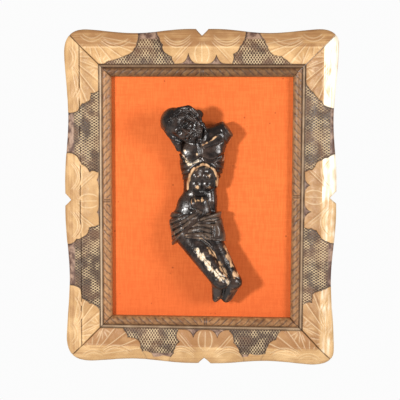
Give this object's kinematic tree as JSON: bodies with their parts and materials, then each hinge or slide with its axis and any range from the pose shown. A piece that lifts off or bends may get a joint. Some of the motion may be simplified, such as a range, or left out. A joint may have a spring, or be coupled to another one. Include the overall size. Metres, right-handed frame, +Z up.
{
  "type": "wooden christ sculpture",
  "caption": "Broken dark carved corpus without arms or lower legs, fixed to an orange cloth-covered board in a carved, part-gilt frame with a scalloped edge.",
  "frame": {"origin": "the middle of the top rail's flat back, in the plane of the wall", "axes": "+X to the viewer's right, +Y into the wall, +Z up"},
  "size_m": [0.3354, 0.061, 0.415],
  "materials": {
    "carved_wood": "near-black glossy patina, rubbed through to tan wood on the high places",
    "gilt_wood": "worn gold leaf on the carved leaves, brown cross-hatched ground between them",
    "orange_cloth": "matt woven cloth glued over a board"
  },
  "bodies": {
    "root": {"christ_figure": "carved_wood", "backing_panel": "orange_cloth", "frame_rail_top": "gilt_wood", "frame_rail_right": "gilt_wood", "frame_rail_bottom": "gilt_wood", "frame_rail_left": "gilt_wood"}
  },
  "joints": []
}
